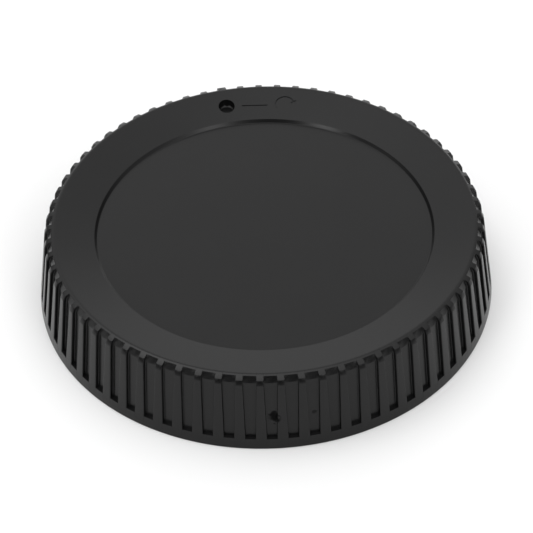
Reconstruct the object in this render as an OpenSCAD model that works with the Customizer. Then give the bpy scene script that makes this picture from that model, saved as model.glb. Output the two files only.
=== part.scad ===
// Rear lens cap: one black plastic moulding that twists onto the back of a camera lens.
// It stands on its open rim. The origin is the middle of the rim plane, +Z is up to the closed top,
// and the index dot lies near +Y.

/* [Body] */
// Diameter of the open rim
rim_d = 62.2; // [59:0.1:80]
// Height from the open rim to the crest of the top
height = 11.4; // [9.5:0.1:16]
// Lean of the side wall in degrees, which lets the moulding leave its mould
side_draft = 7; // [2:0.1:8]
// Thickness of the outer wall behind the grooves
wall = 1.5; // [1:0.1:2]
// Thickness of the top plate
plate = 1.6; // [1.2:0.1:2.4]
// Rounding of the outer edge of the rim
rim_round = 0.15; // [0.1:0.05:0.8]

/* [Top face] */
// Distance from the rim's outer edge in to the crest of the top, seen from above
crest_inset = 2.6; // [2:0.1:3.2]
// Rounding of the crest
crest_round = 0.6; // [0.2:0.05:1]
// Slope of the bevel outside the crest, in degrees
bevel_slope = 21.8; // [15:0.1:35]
// Slope of the ring inside the crest, which dips towards the middle, in degrees
dish_slope = 13.5; // [3:0.1:16]
// Width of that ring, from the crest in to the edge of the round recess
ring_w = 5.45; // [4:0.05:10]
// Depth of the recess
recess_depth = 0.46; // [0.3:0.02:1.4]
// Lean of the recess wall from upright, in degrees
recess_draft = 35; // [2:1:45]
// Rounding at the foot of the recess wall
recess_fillet = 0.15; // [0.05:0.05:0.3]

/* [Grip] */
// Number of ribs round the side
rib_count = 69; // [36:1:80]
// Depth of the grooves between the ribs
groove_depth = 0.52; // [0.3:0.02:1]
// Width of a groove at half the height of the cap
groove_w = 1.52; // [0.8:0.02:1.7]
// Lean of each groove's sides in degrees, so that a groove widens upwards
groove_draft = 1.4; // [0:0.1:2]
// Height of the plain band below the grooves
band_h = 1.7; // [1:0.1:4]

/* [Index] */
// Direction of the index rib and the index dot, in degrees from +X
index_angle = 100.8; // [0:0.1:360]
// How much wider the index rib is than the others
index_extra_w = 0.34; // [0:0.02:0.6]
// How far the index rib stands out beyond the others
index_proud = 0.14; // [0:0.02:0.16]
// Diameter of the index dot, a blind hole
dot_d = 2.3; // [1:0.05:3]
// Depth of the index dot
dot_depth = 0.95; // [0.3:0.05:1]

/* [Bayonet] */
// Width of the open channel between the outer wall and the collar, at the rim plane
channel_w = 4.1; // [2:0.05:6]
// Thickness of the collar
collar_wall = 1.6; // [1:0.1:1.8]
// How far the collar stays back from the rim plane
collar_setback = 0.6; // [0:0.1:2]
// Number of bayonet lugs
lug_count = 3; // [3:1:4]
// Angle that each lug spans, in degrees
lug_span = 48; // [20:1:60]
// Gap between the collar and the tabs of the lens mount that turn inside it
mount_gap = 0.4; // [0.1:0.05:0.8]
// How far each lug reaches in over a lens tab
lug_hold = 1.1; // [0.6:0.1:1.6]
// Thickness of a lug
lug_t = 1.2; // [0.8:0.1:1.8]
// Angle of the ramp at the leading end of each lug, in degrees round the mount
lug_ramp = 8; // [2:1:15]
// Height of the stop above its lug
stop_h = 1.8; // [1:0.1:2.4]
// Angle that the stop spans, in degrees
stop_span = 4; // [2:0.5:8]

/* [Hidden] */
$fn = 128;
// How far a shape that is added to the body reaches into it
ROOT = 0.2;
// How far a cutter reaches beyond the body
CLEAR = 1;
BIG = 4 * rim_d;

rim_r = rim_d / 2;
crest_r = rim_r - crest_inset;
recess_r = crest_r - ring_w;
crest_z = height - crest_round;
lean = tan(side_draft);
dip = tan(dish_slope);
fall = tan(bevel_slope);
// Radii at which the lines of the side wall, the groove floors and the inner wall reach the rim plane
side_foot_r = rim_r - rim_round + rim_round * lean + rim_round / cos(side_draft);
groove_foot_r = side_foot_r - groove_depth;
inner_foot_r = groove_foot_r - wall;

// Height of the dished ring at a radius, along the line that touches the rounded crest
function dish_z(r) = crest_z + crest_round / cos(dish_slope) - (crest_r - r) * dip;
// Height of the bevel at a radius
function bevel_z(r) = crest_z + crest_round / cos(bevel_slope) - (r - crest_r) * fall;
bevel_top_z = bevel_z(crest_r);
bevel_end_r = (side_foot_r - lean * (bevel_top_z + crest_r * fall)) / (1 - lean * fall);
floor_z = dish_z(recess_r) - recess_depth;
recess_foot_r = recess_r - (recess_depth - recess_fillet) * tan(recess_draft) - recess_fillet / cos(recess_draft);
collar_out_r = inner_foot_r - channel_w;
collar_in_r = collar_out_r - collar_wall;
lug_r = collar_in_r - mount_gap - lug_hold;
// How far a lug goes outwards from its tip, to the middle of the collar's thickness
lug_in = mount_gap + lug_hold + collar_wall / 2;
plate_drop = plate / cos(dish_slope);
ceiling_r = (inner_foot_r - lean * (dish_z(0) - plate_drop)) / (1 + lean * dip);
dot_r = (recess_r + crest_r) / 2;
pitch = 360 / rib_count;
mid_pitch = 2 * PI * (side_foot_r - height / 2 * lean) / rib_count;

// Points along an arc from one angle to another
function arc(centre, r, from, to, steps = 4) =
    [for (i = [0 : steps]) let (a = from + (to - from) * i / steps) centre + r * [cos(a), sin(a)]];

// Upper face from the middle of the recess out to the foot of the bevel
upper_line = concat(
    [[0, floor_z]],
    arc([recess_foot_r, floor_z + recess_fillet], recess_fillet, -90, -recess_draft),
    [[recess_r, dish_z(recess_r)]],
    arc([crest_r, crest_z], crest_round, 90 + dish_slope, 90 - bevel_slope),
    [[bevel_end_r, bevel_z(bevel_end_r)]]
);
rim_line = arc([rim_r - rim_round, rim_round], rim_round, side_draft, -90);

// Lower face from the rim in to the middle: wall, channel, collar and top plate
under_line = [
    [inner_foot_r, 0], [ceiling_r, dish_z(ceiling_r) - plate_drop],
    [collar_out_r, dish_z(collar_out_r) - plate_drop], [collar_out_r, collar_setback],
    [collar_in_r, collar_setback], [collar_in_r, floor_z - plate], [0, floor_z - plate]
];

// Radial block that leans with the side wall at angle 0 and widens or narrows with height.
// It starts at a depth below the tops of the ribs and reaches a distance beyond them.
module side_block(w_mid, draft, depth, beyond) {
    half_low = w_mid / 2 - (height / 2 - band_h) * tan(draft);
    half_high = w_mid / 2 + (height / 2 + CLEAR) * tan(draft);
    translate([side_foot_r, 0, 0]) rotate([0, -side_draft, 0]) translate([-depth, 0, 0])
        rotate([90, 0, 90]) linear_extrude(depth + beyond)
            polygon([[-half_low, band_h], [half_low, band_h],
                [half_high, height + CLEAR], [-half_high, height + CLEAR]]);
}

module grooves() {
    for (i = [0 : rib_count - 1]) rotate(index_angle + (i + 0.5) * pitch)
        side_block(groove_w, groove_draft, groove_depth, CLEAR);
}

// The index rib fills part of the grooves beside it and stands out a little all round
module index_rib() {
    rotate(index_angle) difference() {
        side_block(mid_pitch - groove_w + index_extra_w, -groove_draft, groove_depth + ROOT, index_proud);
        translate([crest_r, -BIG / 2, bevel_top_z + index_proud / 2]) rotate([0, bevel_slope, 0])
            translate([-BIG / 2, 0, 0]) cube(BIG);
    }
}

module index_dot() {
    rotate(index_angle) translate([dot_r, 0, dish_z(dot_r) - dot_depth])
        cylinder(d = dot_d, h = height);
}

module lug() {
    difference() {
        rotate_extrude(angle = lug_span) translate([lug_r, collar_setback]) square([lug_in, lug_t]);
        rotate(lug_span - lug_ramp) translate([0, 0, collar_setback + lug_t])
            rotate([atan(-lug_t / 2 / (lug_r * lug_ramp * PI / 180)), 0, 0]) cube(BIG);
    }
}

module stop() {
    rotate_extrude(angle = stop_span) translate([lug_r, collar_setback]) square([lug_in, lug_t + stop_h]);
}

module bayonet() {
    for (i = [0 : lug_count - 1]) rotate(index_angle + i * 360 / lug_count) lug();
    rotate(index_angle) stop();
}

module cap() {
    color([0.07, 0.07, 0.075]) difference() {
        union() {
            difference() {
                rotate_extrude() polygon(concat(upper_line, rim_line, under_line));
                grooves();
            }
            index_rib();
            bayonet();
        }
        index_dot();
    }
}

cap();
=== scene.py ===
"""A rear lens cap, one satin black moulding, standing on its open rim on a plain white ground."""

import logging
import math
from dataclasses import dataclass
from enum import Enum
from typing import Callable

import bmesh
import bpy
from mathutils import Matrix, Vector


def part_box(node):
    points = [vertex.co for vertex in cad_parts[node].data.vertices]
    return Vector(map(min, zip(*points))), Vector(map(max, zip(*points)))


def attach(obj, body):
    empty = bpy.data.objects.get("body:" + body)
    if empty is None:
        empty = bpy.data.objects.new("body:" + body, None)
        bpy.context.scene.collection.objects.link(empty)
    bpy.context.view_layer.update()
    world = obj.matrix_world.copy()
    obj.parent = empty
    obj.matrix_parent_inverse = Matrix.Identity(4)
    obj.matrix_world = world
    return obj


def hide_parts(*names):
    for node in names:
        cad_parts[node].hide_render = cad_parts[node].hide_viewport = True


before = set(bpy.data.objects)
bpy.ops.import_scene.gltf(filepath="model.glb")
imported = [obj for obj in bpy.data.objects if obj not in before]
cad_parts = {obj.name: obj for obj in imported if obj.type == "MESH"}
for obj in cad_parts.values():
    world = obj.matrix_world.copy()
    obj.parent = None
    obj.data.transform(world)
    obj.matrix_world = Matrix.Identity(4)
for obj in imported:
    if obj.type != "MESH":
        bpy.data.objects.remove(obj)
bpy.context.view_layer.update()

LOG = logging.getLogger("lens_cap")
NODE = "cap"
MM = 0.001


def polar(radius: float, angle: float, z: float) -> Vector:
    """Point at a radius, an angle in degrees and a height."""
    turn = math.radians(angle)
    return Vector((radius * math.cos(turn), radius * math.sin(turn), z))


def arc(
    centre: tuple[float, float], radius: float, start: float, end: float, steps: int
) -> list[tuple[float, float]]:
    """Work out the points of an arc.

    Args:
        centre: Centre of the arc in its plane.
        radius: Radius of the arc.
        start: First angle in degrees.
        end: Last angle in degrees.
        steps: Number of chords.

    Returns:
        The points, from the first angle to the last.
    """
    turns = [math.radians(start + (end - start) * i / steps) for i in range(steps + 1)]
    return [(centre[0] + radius * math.cos(t), centre[1] + radius * math.sin(t)) for t in turns]


def grow_ring(
    bm: bmesh.types.BMesh, edges: list[bmesh.types.BMEdge]
) -> tuple[list[bmesh.types.BMEdge], list[bmesh.types.BMVert]]:
    """Extrude a ring of edges, and leave the new ring where the old one is.

    Args:
        bm: The mesh.
        edges: Edges of the ring.

    Returns:
        The edges and the vertices of the new ring.
    """
    grown = bmesh.ops.extrude_edge_only(bm, edges=edges)["geom"]
    verts = [item for item in grown if isinstance(item, bmesh.types.BMVert)]
    tops = set(verts)
    new_edges = [item for item in grown if isinstance(item, bmesh.types.BMEdge) and set(item.verts) <= tops]
    return new_edges, verts


def maths(
    tree: bpy.types.NodeTree, operation: str, *values: float | bpy.types.NodeSocket
) -> bpy.types.NodeSocket:
    """Add a Math node.

    Args:
        tree: The node tree.
        operation: Name of the node's operation.
        values: Sockets or numbers that it works on.

    Returns:
        The socket of its result.
    """
    node = tree.nodes.new("ShaderNodeMath")
    node.operation = operation
    for slot, value in zip(node.inputs, values):
        if isinstance(value, (int, float)):
            slot.default_value = value
        else:
            tree.links.new(value, slot)
    return node.outputs["Value"]


@dataclass
class CapSizes:
    """Sizes of the moulding in millimetres and degrees.

    Attributes:
        rim_r: Radius of the open rim, taken from the bounds of the part in model.glb.
        height: Height from the rim to the crest, taken from the bounds of the part in model.glb.
        side_draft: Lean of the side wall.
        wall: Thickness of the outer wall behind the grooves.
        plate: Thickness of the top plate.
        rim_round: Rounding of the rim's outer edge.
        edge_round: Rounding of the ribs' edges.
        crest_inset: Distance from the rim's outer edge in to the crest, seen from above.
        crest_round: Rounding of the crest.
        bevel_slope: Slope of the bevel outside the crest.
        dish_slope: Slope of the ring inside the crest.
        recess_r: Radius of the round recess.
        recess_depth: Depth of the recess.
        recess_draft: Lean of the recess wall from upright.
        recess_fillet: Rounding at the foot of the recess wall.
        recess_edge: Rounding at the top of the recess wall.
        rib_count: Number of ribs.
        groove_depth: Depth of the grooves.
        groove_w: Width of a groove at half the height of the cap.
        groove_draft: Lean of each groove's sides.
        groove_fillet: Rounding in the corners of a groove's floor.
        band_h: Height of the plain band below the grooves.
        shoulder_drop: Height of the narrow shoulder below the crest.
        shoulder_draft: Lean of the shoulder.
        index_angle: Direction of the index dot.
        index_extra_w: How much wider the index rib is than the others.
        index_proud: How far the index rib stands out.
        collar_in_r: Radius of the collar's bore.
        collar_wall: Thickness of the collar.
        collar_setback: How far the collar stays back from the rim plane.
        lug_reach: How far a lug reaches in from the bore.
        lug_t: Thickness of a lug.
        lug_span: Angle of a lug.
        lug_ramp: Angle of the ramp at a lug's leading end.
        lug_count: Number of lugs.
        stop_h: Height of the stop above its lug.
        stop_span: Angle of the stop.
    """

    rim_r: float
    height: float
    side_draft: float = 7.0
    wall: float = 1.5
    plate: float = 1.6
    rim_round: float = 0.15
    edge_round: float = 0.12
    crest_inset: float = 2.6
    crest_round: float = 0.6
    bevel_slope: float = 21.8
    dish_slope: float = 13.5
    recess_r: float = 23.05
    recess_depth: float = 0.46
    recess_draft: float = 35.0
    recess_fillet: float = 0.1
    recess_edge: float = 0.08
    rib_count: int = 69
    groove_depth: float = 0.52
    groove_w: float = 1.52
    groove_draft: float = 1.4
    groove_fillet: float = 0.1
    band_h: float = 1.7
    shoulder_drop: float = 1.0
    shoulder_draft: float = 27.0
    index_angle: float = 100.8
    index_extra_w: float = 0.34
    index_proud: float = 0.14
    collar_in_r: float = 23.397
    collar_wall: float = 1.6
    collar_setback: float = 0.6
    lug_reach: float = 1.5
    lug_t: float = 1.2
    lug_span: int = 48
    lug_ramp: int = 8
    lug_count: int = 3
    stop_h: float = 1.8
    stop_span: int = 4

    @property
    def lean(self) -> float:
        """Inward run of the side wall per millimetre of height."""
        return math.tan(math.radians(self.side_draft))

    @property
    def shoulder_lean(self) -> float:
        """Inward run of the shoulder per millimetre of height."""
        return math.tan(math.radians(self.shoulder_draft))

    @property
    def dip(self) -> float:
        """Fall of the dished ring per millimetre inwards."""
        return math.tan(math.radians(self.dish_slope))

    @property
    def fall(self) -> float:
        """Fall of the bevel per millimetre outwards."""
        return math.tan(math.radians(self.bevel_slope))

    @property
    def crest_r(self) -> float:
        """Radius of the highest circle."""
        return self.rim_r - self.crest_inset

    @property
    def crest_z(self) -> float:
        """Height of the centre of the crest's rounding."""
        return self.height - self.crest_round

    @property
    def side_foot_r(self) -> float:
        """Radius at which the line of the side wall reaches the rim plane."""
        slant = self.lean + 1 / math.cos(math.radians(self.side_draft)) - 1
        return self.rim_r + self.rim_round * slant

    @property
    def floor_z(self) -> float:
        """Height of the recess floor."""
        return self.dish_z(self.recess_r) - self.recess_depth

    @property
    def shoulder_z(self) -> float:
        """Height at which the side wall turns in to the shoulder below the bevel."""
        return self.height - self.shoulder_drop

    @property
    def pitch(self) -> float:
        """Angle from one rib to the next."""
        return 360 / self.rib_count

    @property
    def dot_r(self) -> float:
        """Radius at which the index dot stands."""
        return (self.recess_r + self.crest_r) / 2

    def dish_z(self, r: float) -> float:
        """Height of the dished ring at a radius."""
        top = self.crest_z + self.crest_round / math.cos(math.radians(self.dish_slope))
        return top - (self.crest_r - r) * self.dip

    def bevel_z(self, r: float) -> float:
        """Height of the bevel at a radius."""
        top = self.crest_z + self.crest_round / math.cos(math.radians(self.bevel_slope))
        return top - (r - self.crest_r) * self.fall

    def side_r(self, z: float) -> float:
        """Radius over the ribs at a height."""
        turned = max(0.0, z - self.shoulder_z)
        return self.side_foot_r - self.lean * (z - turned) - self.shoulder_lean * turned

    def side_top_z(self, depth: float) -> float:
        """Work out where a wall meets the bevel.

        Args:
            depth: Depth of the wall below the tops of the ribs.

        Returns:
            The height in millimetres.
        """
        corner_r = self.side_r(self.shoulder_z) - depth
        rise = self.bevel_z(corner_r) - self.shoulder_z
        return self.shoulder_z + rise / (1 - self.shoulder_lean * self.fall)

    def groove_half(self, z: float) -> float:
        """Half the width of a groove at a height."""
        return self.groove_w / 2 + (z - self.height / 2) * math.tan(math.radians(self.groove_draft))


@dataclass(frozen=True)
class Column:
    """One line that runs up the grooved side.

    Attributes:
        anchor: Angle of the groove or rib centre that the line belongs to.
        side: -1 or 1 for the two sides of that centre, 0 for the centre itself.
        inset: Distance from the groove's side wall towards its middle.
        depth: Depth below the tops of the ribs, negative where the rib stands proud.
        narrow: How much closer the wall stands to the groove's middle, beside the wider rib.
    """

    anchor: float
    side: int
    inset: float = 0.0
    depth: float = 0.0
    narrow: float = 0.0

    def angle(self, sizes: CapSizes, z: float, radius: float) -> float:
        """Work out the line's angle at a height.

        Args:
            sizes: Sizes of the cap.
            z: Height in millimetres.
            radius: Radius of the line at that height.

        Returns:
            The angle in degrees.
        """
        if self.side == 0:
            return self.anchor
        across = sizes.groove_half(z) - self.narrow - self.inset
        return self.anchor + self.side * math.degrees(math.asin(across / radius))


class GripShell:
    """The grooved side wall, from the rim's rounding up over the crest.

    Attributes:
        ROUND_STEPS: Chords in the rounding of a rib's edge.
        FILLET_STEPS: Chords in the rounding of a groove's corner.
        CREST_STEPS: Chords over the crest.
        SHOULDER_ROUND: Half the height in mm over which the side turns in to the shoulder.
        BAND_EDGE: Height in mm of the slope at a groove's foot.
        CORNER_ROUND: Rounding in mm of the edge between the side and the bevel.
        CORNER_RING: Number of the ring on that edge, from the rim up.
    """

    ROUND_STEPS = 3
    FILLET_STEPS = 3
    CREST_STEPS = 5
    SHOULDER_ROUND = 0.05
    BAND_EDGE = 0.03
    CORNER_ROUND = 0.11
    CORNER_RING = 5

    def __init__(self, sizes: CapSizes) -> None:
        """Lay out the columns round the whole side.

        Args:
            sizes: Sizes of the cap.
        """
        self.sizes = sizes
        self.columns: list[Column] = []
        for rib in range(sizes.rib_count):
            self.columns += self.rib_columns(rib)

    def rib_columns(self, rib: int) -> list[Column]:
        """List the columns from one groove's middle over a rib up to the next groove's middle.

        Args:
            rib: Number of the rib, counted from the index rib.

        Returns:
            The columns in the order of their angles, without the last middle line.
        """
        s = self.sizes
        proud = s.index_proud if rib == 0 else 0.0
        narrow = s.index_extra_w / 2 if rib == 0 else 0.0
        centre = s.index_angle + rib * s.pitch
        before, after = centre - s.pitch / 2, centre + s.pitch / 2
        shape = self.half_outline(proud)
        rising = [Column(before, 1, i, d, narrow) for i, d in shape]
        falling = [Column(after, -1, i, d, narrow) for i, d in reversed(shape)]
        floor = Column(before, 0, 0.0, s.groove_depth)
        return [floor, *rising, Column(centre, 0, 0.0, -proud), *falling]

    def half_outline(self, proud: float) -> list[tuple[float, float]]:
        """Outline from a groove's floor up its wall to the top of the rib.

        Args:
            proud: How far the rib stands out beyond the others.

        Returns:
            Pairs of inset from the wall and depth below the rib tops.
        """
        s = self.sizes
        corner = (s.groove_fillet, s.groove_depth - s.groove_fillet)
        fillet = arc(corner, s.groove_fillet, 90, 180, self.FILLET_STEPS)
        rounding = arc((-s.edge_round, s.edge_round - proud), s.edge_round, 0, -90, self.ROUND_STEPS)
        return fillet + rounding

    def on_side(self, column: Column, z: float, flush: bool = False) -> Vector:
        """Place a column on the side wall.

        Args:
            column: The column.
            z: Height in millimetres.
            flush: True on the plain band, where the grooves have no depth.

        Returns:
            The point in millimetres.
        """
        radius = self.sizes.side_r(z) - (0.0 if flush else column.depth)
        angle_z = max(z, self.sizes.band_h)
        angle_r = self.sizes.side_r(angle_z) - column.depth
        return polar(radius, column.angle(self.sizes, angle_z, angle_r), z)

    def on_bevel_edge(self, column: Column) -> Vector:
        """Place a column where its wall meets the bevel."""
        lift = max(0.0, -column.depth) / 2
        return self.on_side(column, self.sizes.side_top_z(column.depth)) + Vector((0, 0, lift))

    def on_circle(self, column: Column, radius: float, z: float) -> Vector:
        """Place a column on a plain circle, at the angle it has on the bevel's edge."""
        edge = self.on_bevel_edge(column)
        return polar(radius, math.degrees(math.atan2(edge.y, edge.x)), z)

    def levels(self) -> list[Callable[[Column], Vector]]:
        """List the rings of the side, from the rim up over the crest.

        Returns:
            One function for each ring, which places a column on it.
        """
        s = self.sizes
        foot_z = s.rim_round * (1 + math.sin(math.radians(s.side_draft)))
        low, high = s.shoulder_z - self.SHOULDER_ROUND, s.shoulder_z + self.SHOULDER_ROUND
        rings = [
            lambda c: self.on_side(c, foot_z, flush=True),
            lambda c: self.on_side(c, s.band_h - self.BAND_EDGE, flush=True),
            lambda c: self.on_side(c, s.band_h),
            lambda c: self.on_side(c, low),
            lambda c: self.on_side(c, high),
            self.on_bevel_edge,
        ]
        first, last = 90 - s.bevel_slope, 90 + s.dish_slope
        for radius, z in arc((s.crest_r, s.crest_z), s.crest_round, first, last, self.CREST_STEPS):
            rings.append(lambda c, radius=radius, z=z: self.on_circle(c, radius, z))
        return rings

    def build(self, bm: bmesh.types.BMesh) -> tuple[list[bmesh.types.BMEdge], list[bmesh.types.BMEdge]]:
        """Add the side to a mesh.

        Args:
            bm: The mesh to add to, in metres.

        Returns:
            The edges of the lowest ring and those of the highest.
        """
        column_of = bm.verts.layers.int.new("column")
        radius, segments = self.sizes.rim_r * MM, len(self.columns)
        ring = bmesh.ops.create_circle(bm, cap_ends=False, radius=radius, segments=segments)["verts"]
        for number, vert in enumerate(ring):
            vert[column_of] = number
        known = set(ring)
        edges = [edge for edge in bm.edges if edge.verts[0] in known]
        first, corner = edges, []
        for number, place in enumerate(self.levels()):
            if number > 0:
                edges, ring = grow_ring(bm, edges)
            for vert in ring:
                vert.co = place(self.columns[vert[column_of]]) * MM
            if number == self.CORNER_RING:
                corner = edges
        bmesh.ops.bevel(
            bm, geom=corner, offset=self.CORNER_ROUND * MM, offset_type="OFFSET", affect="EDGES",
            segments=2, profile=0.5, material=-1, clamp_overlap=True,
        )
        return first, edges


class TurnedShell:
    """A face of revolution, spun from a half outline.

    Attributes:
        STEPS: Steps of the spin, six for each rib.
        AXIS_ZONE: Distance in metres within which a vertex counts as lying on the axis.
        MERGE: Distance in metres within which the vertices on the axis are merged.
        OPEN_END: Least radius in metres of the open end.
    """

    STEPS = 414
    AXIS_ZONE = 1e-6
    MERGE = 1e-5
    OPEN_END = 1e-3

    def __init__(self, sizes: CapSizes, outline: list[tuple[float, float]]) -> None:
        """Keep the outline.

        Args:
            sizes: Sizes of the cap.
            outline: Pairs of radius and height in millimetres, from the open end to the axis.
        """
        self.sizes = sizes
        self.outline = outline

    def build(self, bm: bmesh.types.BMesh) -> list[bmesh.types.BMEdge]:
        """Spin the outline into a mesh.

        Args:
            bm: The mesh to add to, in metres.

        Returns:
            The edges of the open end's ring.
        """
        old = set(bm.verts)
        start = self.sizes.index_angle
        verts = [bm.verts.new(polar(r, start, z) * MM) for r, z in self.outline]
        edges = [bm.edges.new(pair) for pair in zip(verts, verts[1:])]
        bmesh.ops.spin(
            bm, geom=verts + edges, cent=(0, 0, 0), axis=(0, 0, 1), dvec=(0, 0, 0),
            angle=math.tau, steps=self.STEPS, use_merge=True, use_duplicate=False,
        )
        pole = [v for v in bm.verts if v not in old and v.co.xy.length < self.AXIS_ZONE]
        bmesh.ops.remove_doubles(bm, verts=pole, dist=self.MERGE)
        open_edges = [e for e in bm.edges if e.is_boundary and e.verts[0] not in old]
        return [e for e in open_edges if e.verts[0].co.xy.length > self.OPEN_END]


class TopFace(TurnedShell):
    """The dished ring and the recess inside the crest.

    Attributes:
        START_GAP: Distance in mm from the end of the crest's rounding to the first ring.
        DOT_ZONE: Distance in mm from the dot's middle to the rings beside it.
        FLOOR_SHARES: Radii of the rings on the recess floor, as shares of the recess's.
        CORNER_STEPS: Chords in the roundings of the recess.
    """

    START_GAP = 0.15
    DOT_ZONE = 1.0
    FLOOR_SHARES = (0.66, 0.33, 0.0)
    CORNER_STEPS = 4

    def __init__(self, sizes: CapSizes) -> None:
        """Work out the outline.

        Args:
            sizes: Sizes of the cap.
        """
        s = sizes
        crest_in_r = s.crest_r - s.crest_round * math.sin(math.radians(s.dish_slope))
        start_r = crest_in_r - self.START_GAP
        edge = (s.recess_r, s.dish_z(s.recess_r))
        rounded = self.corner(edge, -s.recess_edge, 90 + s.dish_slope, 180 - s.recess_draft)
        foot_r = s.recess_r - s.recess_depth * math.tan(math.radians(s.recess_draft))
        foot = self.corner((foot_r, s.floor_z), s.recess_fillet, 180 - s.recess_draft, 90)
        ring = [(r, s.dish_z(r)) for r in (start_r, s.dot_r + self.DOT_ZONE, s.dot_r - self.DOT_ZONE)]
        floor = [(s.recess_r * share, s.floor_z) for share in self.FLOOR_SHARES]
        super().__init__(sizes, ring + rounded + foot + floor)

    def corner(
        self, point: tuple[float, float], radius: float, first: float, last: float
    ) -> list[tuple[float, float]]:
        """Round the corner between two faces of the outline.

        Args:
            point: Where the faces would meet.
            radius: Radius of the rounding, negative for an outward corner and positive for a hollow one.
            first: Direction in degrees that the first face looks in.
            last: Direction in degrees that the second face looks in.

        Returns:
            The points of the rounding.
        """
        half = math.radians(last - first) / 2
        middle = math.radians((first + last) / 2)
        reach = radius / math.cos(half)
        centre = (point[0] + reach * math.cos(middle), point[1] + reach * math.sin(middle))
        return arc(centre, -radius, first, last, self.CORNER_STEPS)


class Underside(TurnedShell):
    """The rim, the channel, the collar with its bayonet lugs and the ceiling inside.

    Attributes:
        SOFT: Rounding in mm of the outward edges.
        HOLLOW: Rounding in mm of the hollow corners.
        HOLLOW_MID: Distance in mm of that rounding's middle from the faces.
        WALL_MID: The same distance from the outer wall.
        RIM_STEPS: Chords in the rounding of the rim.
        EDGE_STEPS: Chords in the other roundings.
        CEILING_SHARES: Radii of the rings on the ceiling, as shares of the bore's.
        BORE_ZONE: Distance in mm within which a face counts as lying on the bore.
        LEVEL_ZONE: Distance in metres within which a vertex counts as lying at a height.
        LUG_ZONE: Distance in mm past the bore within which a vertex counts as the lug's.
        RAMP_ZONE: Angle past the leading end within which a vertex counts as the ramp's.
    """

    SOFT = 0.15
    HOLLOW = 0.3
    HOLLOW_MID = 0.09
    WALL_MID = 0.1
    RIM_STEPS = 5
    EDGE_STEPS = 3
    CEILING_SHARES = (0.6, 0.3, 0.0)
    BORE_ZONE = 0.02
    LEVEL_ZONE = 1e-7
    LUG_ZONE = 0.01
    RAMP_ZONE = 0.5

    def __init__(self, sizes: CapSizes) -> None:
        """Work out the outline.

        Args:
            sizes: Sizes of the cap.
        """
        s = sizes
        cosine = math.cos(math.radians(s.dish_slope))
        drop = s.plate / cosine
        inner_r = s.side_foot_r - s.groove_depth - s.wall
        ceiling_r = (inner_r - s.lean * (s.dish_z(0) - drop)) / (1 + s.lean * s.dip)
        collar_out = s.collar_in_r + s.collar_wall
        wide, mid, wall_mid = self.HOLLOW, self.HOLLOW_MID, self.WALL_MID
        rim = arc((s.rim_r - s.rim_round, s.rim_round), s.rim_round, 0, -90, self.RIM_STEPS)
        inner_edge = arc((inner_r + self.SOFT, self.SOFT), self.SOFT, -90, -180, self.EDGE_STEPS)
        channel = [
            (ceiling_r + s.lean * wide, s.dish_z(ceiling_r) - drop - wide),
            (ceiling_r - wall_mid, s.dish_z(ceiling_r - wall_mid) - drop - mid),
            (ceiling_r - wide, s.dish_z(ceiling_r - wide) - drop),
            (collar_out + wide, s.dish_z(collar_out + wide) - drop),
            (collar_out + mid, s.dish_z(collar_out + mid) - drop - mid),
            (collar_out, s.dish_z(collar_out) - drop - wide),
        ]
        low, half = s.collar_setback, self.SOFT / 2
        out_edge = arc((collar_out - self.SOFT, low + self.SOFT), self.SOFT, 0, -90, self.EDGE_STEPS)
        in_edge = arc((s.collar_in_r + half, low + half), half, -90, -180, self.EDGE_STEPS)
        ceiling = s.floor_z - s.plate
        self.lug_low = low + half
        self.lug_high = low + s.lug_t
        self.stop_high = self.lug_high + s.stop_h
        bore = [(s.collar_in_r, self.lug_high), (s.collar_in_r, self.stop_high)]
        foot = arc((s.collar_in_r - wide, ceiling - wide), wide, 0, 90, self.EDGE_STEPS)
        middle = [(s.collar_in_r * share, ceiling) for share in self.CEILING_SHARES]
        super().__init__(sizes, rim + inner_edge + channel + out_edge + in_edge + bore + foot + middle)

    def build(self, bm: bmesh.types.BMesh) -> list[bmesh.types.BMEdge]:
        """Spin the underside and raise the lugs and the stop on the collar.

        Args:
            bm: The mesh to add to, in metres.

        Returns:
            The edges of the open end's ring.
        """
        open_edges = super().build(bm)
        s = self.sizes
        for number in range(s.lug_count):
            start = number * 360 / s.lug_count
            patch = self.bore_faces(bm, start, start + s.lug_span, self.lug_low, self.lug_high)
            if number == 0:
                patch += self.bore_faces(bm, start, start + s.stop_span, self.lug_high, self.stop_high)
            self.raise_patch(bm, patch)
            self.lower_ramp(bm, start + s.lug_span - s.lug_ramp, start + s.lug_span)
        return open_edges

    def bore_faces(
        self, bm: bmesh.types.BMesh, start: float, end: float, low: float, high: float
    ) -> list[bmesh.types.BMFace]:
        """Find the faces of the collar's bore between two angles and two heights.

        Args:
            bm: The mesh.
            start: First angle from the index in degrees.
            end: Last angle from the index in degrees.
            low: Lowest height in millimetres.
            high: Highest height in millimetres.

        Returns:
            The faces.
        """
        found = []
        for face in bm.faces:
            middle = face.calc_center_median() / MM
            if abs(middle.xy.length - self.sizes.collar_in_r) > self.BORE_ZONE or not low < middle.z < high:
                continue
            angle = (math.degrees(math.atan2(middle.y, middle.x)) - self.sizes.index_angle) % 360
            if start < angle < end:
                found.append(face)
        return found

    def raise_patch(self, bm: bmesh.types.BMesh, faces: list[bmesh.types.BMFace]) -> None:
        """Push a patch of the bore inwards to the tips of the lugs.

        Args:
            bm: The mesh.
            faces: Faces of the patch.
        """
        grown = bmesh.ops.extrude_face_region(bm, geom=faces)["geom"]
        bmesh.ops.delete(bm, geom=faces, context="FACES")
        tip = self.sizes.collar_in_r - self.sizes.lug_reach
        for vert in (g for g in grown if isinstance(g, bmesh.types.BMVert)):
            vert.co.xy = vert.co.xy.normalized() * tip * MM

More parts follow.
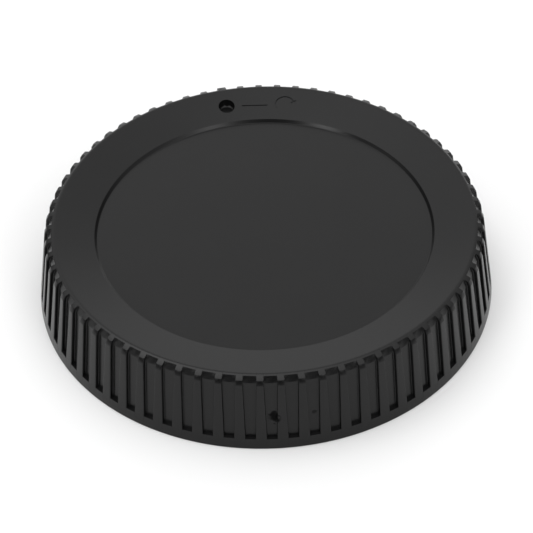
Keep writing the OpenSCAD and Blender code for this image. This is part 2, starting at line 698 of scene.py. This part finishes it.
    def lower_ramp(self, bm: bmesh.types.BMesh, start: float, end: float) -> None:
        """Slope the top of a lug down towards its leading end.

        Args:
            bm: The mesh.
            start: Angle from the index at which the ramp starts.
            end: Angle from the index of the leading end.
        """
        top, reach = self.lug_high * MM, (self.sizes.collar_in_r + self.LUG_ZONE) * MM
        for vert in bm.verts:
            if abs(vert.co.z - top) > self.LEVEL_ZONE or vert.co.xy.length > reach:
                continue
            angle = (math.degrees(math.atan2(vert.co.y, vert.co.x)) - self.sizes.index_angle) % 360
            if start < angle < end + self.RAMP_ZONE:
                vert.co.z -= self.sizes.lug_t / 2 * MM * (angle - start) / (end - start)


class MarkKind(Enum):
    """The marks cut into the dished ring, named for their use."""

    INDEX_DOT = "index_dot"
    INDEX_LINE = "index_line"
    TURN_ARROW = "turn_arrow"


@dataclass
class IndexMarks:
    """Cutters for the blind hole, the line and the turning arrow, in millimetres.

    Attributes:
        sizes: Sizes of the cap.
        dot_d: Diameter of the blind hole.
        dot_depth: Depth of the hole.
        dot_fillet: Rounding at the foot of the hole.
        line_start: Left end of the line along X.
        line_end: Right end of the line along X.
        row_y: Place of the line and the arrow along Y.
        line_w: Width of the engraved strokes.
        line_depth: Depth of the engraved strokes.
        arrow_x: Middle of the arrow along X.
        arrow_r: Radius of the arrow's arc.
        arrow_start: Angle in degrees at which the arc starts.
        arrow_end: Angle in degrees at which the arc ends and the head starts.
        head_w: Width of the arrow's head at its base.
        head_base: Distance from the end of the arc to the base of the head.
        head_tip: Distance from the end of the arc to the tip of the head.
        tip_w: Width of the tip.
        cutter_h: Height of the hole's cutter.
        cutter_rise: How far a stroke's cutter reaches above the surface.
        DOT_SEGMENTS: Sides of the hole's cutter.
        FOOT_STEPS: Chords in the rounding at the foot of the hole.
        ARROW_STEPS: Chords in the arrow's arc.
    """

    sizes: CapSizes
    dot_d: float = 2.3
    dot_depth: float = 0.95
    dot_fillet: float = 0.3
    line_start: float = -2.65
    line_end: float = 1.0
    row_y: float = 25.4
    line_w: float = 0.17
    line_depth: float = 0.12
    arrow_x: float = 3.45
    arrow_r: float = 1.3
    arrow_start: float = 210.0
    arrow_end: float = 20.0
    head_w: float = 0.9
    head_base: float = 0.04
    head_tip: float = 0.95
    tip_w: float = 0.03
    cutter_h: float = 3.0
    cutter_rise: float = 1.0

    DOT_SEGMENTS = 64
    FOOT_STEPS = 4
    ARROW_STEPS = 20

    def cutter(self, kind: MarkKind) -> bmesh.types.BMesh:
        """Build one cutter.

        Args:
            kind: Which mark it cuts.

        Returns:
            A closed mesh in metres, for the caller to free.
        """
        makers = {
            MarkKind.INDEX_DOT: self.dot_cutter,
            MarkKind.INDEX_LINE: self.line_cutter,
            MarkKind.TURN_ARROW: self.arrow_cutter,
        }
        bm = makers[kind]()
        bmesh.ops.recalc_face_normals(bm, faces=bm.faces)
        return bm

    def dot_cutter(self) -> bmesh.types.BMesh:
        """Build the cutter of the blind hole, which is rounded at its foot.

        Returns:
            A closed mesh in metres.
        """
        bm = bmesh.new()
        radius = self.dot_d / 2 * MM
        bmesh.ops.create_cone(
            bm, cap_ends=True, segments=self.DOT_SEGMENTS,
            radius1=radius, radius2=radius, depth=self.cutter_h * MM,
        )
        rim = [edge for edge in bm.edges if max(vert.co.z for vert in edge.verts) < 0]
        bmesh.ops.bevel(
            bm, geom=rim, offset=self.dot_fillet * MM, offset_type="OFFSET", affect="EDGES",
            segments=self.FOOT_STEPS, profile=0.5, material=-1, clamp_overlap=True,
        )
        foot = self.sizes.dish_z(self.sizes.dot_r) - self.dot_depth
        place = polar(self.sizes.dot_r, self.sizes.index_angle, foot + self.cutter_h / 2)
        bmesh.ops.translate(bm, verts=bm.verts, vec=place * MM)
        return bm

    def section(self, stations: list[tuple[float, float, float]], number: int) -> list[Vector]:
        """Place the corners of a stroke's cutter at one point of its path.

        Args:
            stations: X, Y and width of the stroke at each point of the path, in millimetres.
            number: Number of the point.

        Returns:
            The four corners in millimetres.
        """
        x, y, width = stations[number]
        before, after = stations[max(number - 1, 0)], stations[min(number + 1, len(stations) - 1)]
        across = Vector((before[1] - after[1], after[0] - before[0], 0)).normalized()
        low, high = -self.line_depth, self.cutter_rise
        corners = []
        for side, rise in ((-1, low), (1, low), (1, high), (-1, high)):
            spot = Vector((x, y, 0)) + across * side * width / 2
            spot.z = self.sizes.dish_z(spot.length) + rise
            corners.append(spot)
        return corners

    def stroke(self, stations: list[tuple[float, float, float]]) -> bmesh.types.BMesh:
        """Sweep an upright cutter along a path on the dished ring.

        Args:
            stations: X, Y and width of the stroke at each point of the path, in millimetres.

        Returns:
            A closed mesh in metres.
        """
        bm = bmesh.new()
        corner_of = bm.verts.layers.int.new("corner")
        start = bmesh.ops.create_circle(bm, cap_ends=True, radius=self.line_w * MM, segments=4)
        ring, edges = start["verts"], list(bm.edges)
        for number, vert in enumerate(ring):
            vert[corner_of] = number
        for number in range(len(stations)):
            if number > 0:
                edges, ring = grow_ring(bm, edges)
            corners = self.section(stations, number)
            for vert in ring:
                vert.co = corners[vert[corner_of]] * MM
        bmesh.ops.edgeloop_fill(bm, edges=edges)
        return bm

    def line_cutter(self) -> bmesh.types.BMesh:
        """Straight stroke between the dot and the arrow."""
        return self.stroke([(x, self.row_y, self.line_w) for x in (self.line_start, self.line_end)])

    def arrow_cutter(self) -> bmesh.types.BMesh:
        """Build the cutter of the turn arrow: an arc with a plain triangular head.

        Returns:
            A closed mesh in metres.
        """
        middle = (self.arrow_x, self.row_y)
        points = arc(middle, self.arrow_r, self.arrow_start, self.arrow_end, self.ARROW_STEPS)
        tip, last = Vector(points[-1]), Vector(points[-2])
        along = (tip - last).normalized()
        base, end = tip + along * self.head_base, tip + along * self.head_tip
        shaft = [(x, y, self.line_w) for x, y in points]
        return self.stroke([*shaft, (*base, self.head_w), (*end, self.tip_w)])


@dataclass(frozen=True)
class Smudge:
    """A small dull mark of dirt on the plastic, in millimetres and degrees.

    Attributes:
        radius: Distance of its middle from the axis.
        angle: Direction of its middle.
        z: Height of its middle.
        width: Size round the cap.
        tall: Size up the side.
        dulling: Share of the reflection that it takes away.
        crumb: Size of the crumbs that break it up, in metres.
        raggedness: How far the crumbs move its outline, as a share of its half size.
        solid: Sum of distance and crumbs, in half sizes, up to which it is whole.
        gone: Sum of distance and crumbs, in half sizes, from which the plastic is clean.
    """

    radius: float
    angle: float
    z: float
    width: float
    tall: float
    dulling: float
    crumb: float = 0.0005
    raggedness: float = 1.6
    solid: float = 1.15
    gone: float = 1.65


@dataclass(frozen=True)
class SatinPlastic:
    """Black moulded plastic with a fine spark-eroded grain.

    Attributes:
        colour: Colour of the plastic.
        roughness: Mean roughness of the surface.
        specular: Specular level on the shader.
        ior: Index of refraction.
        cloud_size: Size in metres of the slow changes in tone and roughness.
        cloud_octaves: Octaves of those changes, and of the crumbs of dirt.
        tones: Darkest and lightest tone as shares of the colour.
        sheen_range: How far the roughness goes up and down.
        grain_size: Size of the grain in metres.
        grain_height: Height of the grain in metres.
        grain_octaves: Octaves of the grain.
        smudges: Marks of dirt on the grip.
    """

    colour: tuple[float, float, float] = (0.0055, 0.0055, 0.0056)
    roughness: float = 0.26
    specular: float = 0.24
    ior: float = 1.5
    cloud_size: float = 0.009
    cloud_octaves: float = 3.0
    tones: tuple[float, float] = (0.9, 1.12)
    sheen_range: float = 0.025
    grain_size: float = 0.00022
    grain_height: float = 0.0000035
    grain_octaves: float = 2.0
    smudges: tuple[Smudge, ...] = (
        Smudge(30.0, -88.9, 4.9, 2.1, 2.8, 0.97),
        Smudge(30.0, -79.0, 5.0, 1.1, 1.1, 0.6),
    )

    def material(self) -> bpy.types.Material:
        """Build the node material.

        Returns:
            The material, which reads Object coordinates only.
        """
        material = bpy.data.materials.new("satin_black_plastic")
        material.use_nodes = True
        tree = material.node_tree
        nodes, links = tree.nodes, tree.links
        nodes.clear()
        out = nodes.new("ShaderNodeOutputMaterial")
        shader = nodes.new("ShaderNodeBsdfPrincipled")
        place = nodes.new("ShaderNodeTexCoord").outputs["Object"]
        shader.inputs["IOR"].default_value = self.ior
        links.new(shader.outputs["BSDF"], out.inputs["Surface"])

        cloud = self.noise(tree, place, self.cloud_size, self.cloud_octaves)
        tone = nodes.new("ShaderNodeMix")
        tone.data_type = "RGBA"
        for name, share in zip("AB", self.tones):
            tone.inputs[name].default_value = (*(c * share for c in self.colour), 1)
        links.new(cloud, tone.inputs["Factor"])
        links.new(tone.outputs["Result"], shader.inputs["Base Color"])

        sheen = nodes.new("ShaderNodeMapRange")
        sheen.inputs["To Min"].default_value = self.roughness - self.sheen_range
        sheen.inputs["To Max"].default_value = self.roughness + self.sheen_range
        links.new(cloud, sheen.inputs["Value"])
        links.new(sheen.outputs["Result"], shader.inputs["Roughness"])

        level = self.specular
        for smudge in self.smudges:
            level = maths(tree, "MULTIPLY", self.clean_share(tree, place, smudge), level)
        links.new(level, shader.inputs["Specular IOR Level"])

        bump = nodes.new("ShaderNodeBump")
        bump.inputs["Strength"].default_value = 1.0
        bump.inputs["Distance"].default_value = self.grain_height
        grain = self.noise(tree, place, self.grain_size, self.grain_octaves)
        links.new(grain, bump.inputs["Height"])
        links.new(bump.outputs["Normal"], shader.inputs["Normal"])
        return material

    def clean_share(
        self, tree: bpy.types.NodeTree, place: bpy.types.NodeSocket, smudge: Smudge
    ) -> bpy.types.NodeSocket:
        """Mask a mark of dirt, broken up by crumbs.

        Args:
            tree: Node tree of the material.
            place: Socket of the Object coordinates.
            smudge: The mark.

        Returns:
            The socket of the share of the reflection that is left.
        """
        centred = tree.nodes.new("ShaderNodeMapping")
        centred.vector_type = "TEXTURE"
        centred.inputs["Location"].default_value = polar(smudge.radius, smudge.angle, smudge.z) * MM
        centred.inputs["Rotation"].default_value = (0, 0, math.radians(smudge.angle))
        reach = Vector((smudge.width, smudge.width / 2, smudge.tall / 2))
        centred.inputs["Scale"].default_value = reach * MM
        tree.links.new(place, centred.inputs["Vector"])
        away = tree.nodes.new("ShaderNodeVectorMath")
        away.operation = "LENGTH"
        tree.links.new(centred.outputs["Vector"], away.inputs[0])
        crumbs = self.noise(tree, place, smudge.crumb, self.cloud_octaves)
        ragged = maths(tree, "MULTIPLY_ADD", crumbs, smudge.raggedness, away.outputs["Value"])
        share = tree.nodes.new("ShaderNodeMapRange")
        share.interpolation_type = "SMOOTHSTEP"
        share.inputs["From Min"].default_value = smudge.solid
        share.inputs["From Max"].default_value = smudge.gone
        share.inputs["To Min"].default_value = 1.0 - smudge.dulling
        tree.links.new(ragged, share.inputs["Value"])
        return share.outputs["Result"]

    @staticmethod
    def noise(
        tree: bpy.types.NodeTree, place: bpy.types.NodeSocket, size: float, detail: float
    ) -> bpy.types.NodeSocket:
        """Add a noise on Object coordinates.

        Args:
            tree: Node tree of the material.
            place: Socket of the Object coordinates.
            size: Size of the noise's largest grains in metres.
            detail: Octaves of the noise.

        Returns:
            The noise's value socket.
        """
        node = tree.nodes.new("ShaderNodeTexNoise")
        node.inputs["Scale"].default_value = 1 / size
        node.inputs["Detail"].default_value = detail
        tree.links.new(place, node.inputs["Vector"])
        return node.outputs["Fac"]


class LensCap:
    """The whole moulding, built in one mesh and dressed.

    Attributes:
        SHARP_ANGLE: Angle in degrees from which an edge stays sharp.
    """

    SHARP_ANGLE = 38.0

    def __init__(self, sizes: CapSizes) -> None:
        """Keep the sizes.

        Args:
            sizes: Sizes of the cap.
        """
        self.sizes = sizes

    def build(self) -> bpy.types.Object:
        """Build the mesh, cut the marks and dress the piece.

        Returns:
            The finished object.
        """
        bm = bmesh.new()
        low, high = GripShell(self.sizes).build(bm)
        top = TopFace(self.sizes).build(bm)
        under = Underside(self.sizes).build(bm)
        bmesh.ops.bridge_loops(bm, edges=low + under)
        bmesh.ops.bridge_loops(bm, edges=high + top)
        bmesh.ops.recalc_face_normals(bm, faces=bm.faces)
        mesh = bpy.data.meshes.new("lens_cap")
        bm.to_mesh(mesh)
        bm.free()
        piece = bpy.data.objects.new("lens_cap", mesh)
        bpy.context.collection.objects.link(piece)
        self.cut_marks(piece)
        self.shade(piece)
        piece.data.materials.clear()
        piece.data.materials.append(SatinPlastic().material())
        return piece

    def cut_marks(self, piece: bpy.types.Object) -> None:
        """Take the marks out of the piece.

        Args:
            piece: The piece, whose mesh is replaced.
        """
        marks = IndexMarks(self.sizes)
        for kind in MarkKind:
            bm = marks.cutter(kind)
            tool_mesh = bpy.data.meshes.new(kind.value)
            bm.to_mesh(tool_mesh)
            bm.free()
            tool = bpy.data.objects.new(kind.value, tool_mesh)
            bpy.context.collection.objects.link(tool)
            cut = piece.modifiers.new(kind.value, "BOOLEAN")
            cut.operation, cut.solver, cut.object = "DIFFERENCE", "EXACT", tool
            settled = piece.evaluated_get(bpy.context.evaluated_depsgraph_get())
            mesh = bpy.data.meshes.new_from_object(settled)
            piece.modifiers.clear()
            piece.data = mesh
            bpy.data.objects.remove(tool)

    def shade(self, piece: bpy.types.Object) -> None:
        """Smooth the piece, with sharp edges where it turns hard, and weigh its normals by area.

        Args:
            piece: The piece.
        """
        bm = bmesh.new()
        bm.from_mesh(piece.data)
        for face in bm.faces:
            face.smooth = True
        limit = math.radians(self.SHARP_ANGLE)
        for edge in bm.edges:
            edge.smooth = not (edge.is_manifold and edge.calc_face_angle(0.0) > limit)
        bm.to_mesh(piece.data)
        bm.free()
        weigh = piece.modifiers.new("face_weights", "WEIGHTED_NORMAL")
        weigh.keep_sharp = True


@dataclass(frozen=True)
class SoftPanel:
    """A large soft light of the studio, seen as a glow in the surroundings.

    Attributes:
        azimuth: Direction of the panel in degrees from +X.
        elevation: Height of the panel above the horizon in degrees.
        strength: Brightness at its middle.
        tightness: How fast its glow fades away from its middle, higher for a narrower panel.
    """

    azimuth: float
    elevation: float
    strength: float
    tightness: float = 14.0

    @property
    def direction(self) -> Vector:
        """Unit vector towards the middle of the panel."""
        turn = math.radians(self.elevation)
        return polar(math.cos(turn), self.azimuth, math.sin(turn))


@dataclass
class Studio:
    """The plain ground, the soft light and the camera.

    Attributes:
        elevation: Angle of the camera above the ground in degrees.
        roll: Turn of the camera round its line of sight in degrees.
        distance: Distance of the camera in metres.
        shift_right: Sideways place of the camera from the line through the origin, in metres.
        shift_up: Upward place of the camera from that line, in metres.
        lens: Focal length of the camera in mm.
        floor_tone: Colour of the ground, from 0 for black to 1 for white.
        floor_glow: Light that the ground gives off, as a bright sweep does.
        floor_half: Half the width of the ground in metres.
        floor_roughness: Roughness of the ground.
        sensor: Width of the camera's sensor in mm.
        clip: Nearest and farthest distance that the camera sees, in metres.
        PANELS: The soft lights all round.
    """

    elevation: float = 43.544
    roll: float = -1.79
    distance: float = 0.35174
    shift_right: float = 0.0000713
    shift_up: float = 0.002225
    lens: float = 171.72
    floor_tone: float = 0.8
    floor_glow: float = 0.04
    floor_half: float = 3.0
    floor_roughness: float = 0.9
    sensor: float = 36.0
    clip: tuple[float, float] = (0.01, 20.0)

    PANELS = (
        SoftPanel(0, 90, 1.94),
        SoftPanel(180, 66, 1.93),
        SoftPanel(0, 66, 0.64),
        SoftPanel(60, 66, 0.24),
        SoftPanel(45, 44, 0.78),
        SoftPanel(90, 44, 0.47),
        SoftPanel(135, 44, 1.22),
        SoftPanel(90, 22, 1.0, tightness=20.0),
        SoftPanel(67, 13, 2.8, tightness=70.0),
        SoftPanel(112, 12, 1.6, tightness=70.0),
        SoftPanel(154, 64, 1.9, tightness=60.0),
        SoftPanel(0, 24, 0.6),
        SoftPanel(185, 24, 0.6),
        SoftPanel(315, 44, 1.96),
        SoftPanel(229, 28, 9.0, tightness=90.0),
        SoftPanel(301, 28, 6.0, tightness=110.0),
    )

    def build(self) -> None:
        """Set up the ground, the lights and the camera."""
        self.build_floor()
        self.build_world()
        self.build_camera()

    def build_floor(self) -> None:
        """Lay the white ground."""
        bm = bmesh.new()
        bmesh.ops.create_grid(bm, x_segments=1, y_segments=1, size=self.floor_half)
        mesh = bpy.data.meshes.new("ground")
        bm.to_mesh(mesh)
        bm.free()
        ground = bpy.data.objects.new("ground", mesh)
        bpy.context.collection.objects.link(ground)
        material = bpy.data.materials.new("white_ground")
        material.use_nodes = True
        shader = material.node_tree.nodes["Principled BSDF"]
        shader.inputs["Base Color"].default_value = (*[self.floor_tone] * 3, 1)
        shader.inputs["Roughness"].default_value = self.floor_roughness
        shader.inputs["Emission Color"].default_value = (1, 1, 1, 1)
        shader.inputs["Emission Strength"].default_value = self.floor_glow
        ground.data.materials.append(material)

    def build_world(self) -> None:
        """Add up the glow of the panels in the surroundings, and show the camera a plain white one."""
        world = bpy.data.worlds.new("studio")
        world.use_nodes = True
        tree = world.node_tree
        nodes, links = tree.nodes, tree.links
        place = nodes.new("ShaderNodeTexCoord").outputs["Generated"]
        total = 0.0
        for panel in self.PANELS:
            total = maths(tree, "ADD", self.panel_glow(tree, place, panel), total)
        lit, plain = nodes["Background"], nodes.new("ShaderNodeBackground")
        for background in (lit, plain):
            background.inputs["Color"].default_value = (1, 1, 1, 1)
        links.new(total, lit.inputs["Strength"])
        mix = nodes.new("ShaderNodeMixShader")
        path = nodes.new("ShaderNodeLightPath")
        links.new(path.outputs["Is Camera Ray"], mix.inputs["Fac"])
        links.new(lit.outputs["Background"], mix.inputs[1])
        links.new(plain.outputs["Background"], mix.inputs[2])
        links.new(mix.outputs["Shader"], nodes["World Output"].inputs["Surface"])
        bpy.context.scene.world = world
        bpy.context.scene.view_settings.view_transform = "Standard"

    @staticmethod
    def panel_glow(
        tree: bpy.types.NodeTree, place: bpy.types.NodeSocket, panel: SoftPanel
    ) -> bpy.types.NodeSocket:
        """Add the glow of one panel to the surroundings.

        Args:
            tree: Node tree of the world.
            place: Socket of the direction looked in.
            panel: The panel.

        Returns:
            The socket of its brightness.
        """
        facing = tree.nodes.new("ShaderNodeVectorMath")
        facing.operation = "DOT_PRODUCT"
        facing.inputs[1].default_value = panel.direction
        tree.links.new(place, facing.inputs[0])
        away = maths(tree, "SUBTRACT", facing.outputs["Value"], 1.0)
        fade = maths(tree, "EXPONENT", maths(tree, "MULTIPLY", away, panel.tightness))
        return maths(tree, "MULTIPLY", fade, panel.strength)

    def build_camera(self) -> None:
        """Stand the camera where the photograph was taken from."""
        data = bpy.data.cameras.new("camera")
        data.lens, data.sensor_width, data.sensor_fit = self.lens, self.sensor, "HORIZONTAL"
        data.clip_start, data.clip_end = self.clip
        camera = bpy.data.objects.new("camera", data)
        turn = Matrix.Rotation(math.radians(90 - self.elevation), 4, "X")
        turn = turn @ Matrix.Rotation(math.radians(self.roll), 4, "Z")
        place = turn @ Vector((self.shift_right, self.shift_up, self.distance))
        camera.matrix_world = Matrix.Translation(place) @ turn
        bpy.context.collection.objects.link(camera)
        bpy.context.scene.camera = camera


def main() -> None:
    """Build the cap and the studio."""
    logging.basicConfig(level=logging.INFO, format="%(name)s: %(message)s")
    low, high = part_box(NODE)
    sizes = CapSizes(rim_r=(high[0] - low[0]) / 2 / MM, height=(high[2] - low[2]) / MM)
    piece = LensCap(sizes).build()
    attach(piece, "root")
    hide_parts(NODE)
    LOG.info("%s: %d faces", piece.name, len(piece.data.polygons))
    Studio().build()
    LOG.info("studio: ground, lights and camera")


if __name__ == "__main__":
    main()
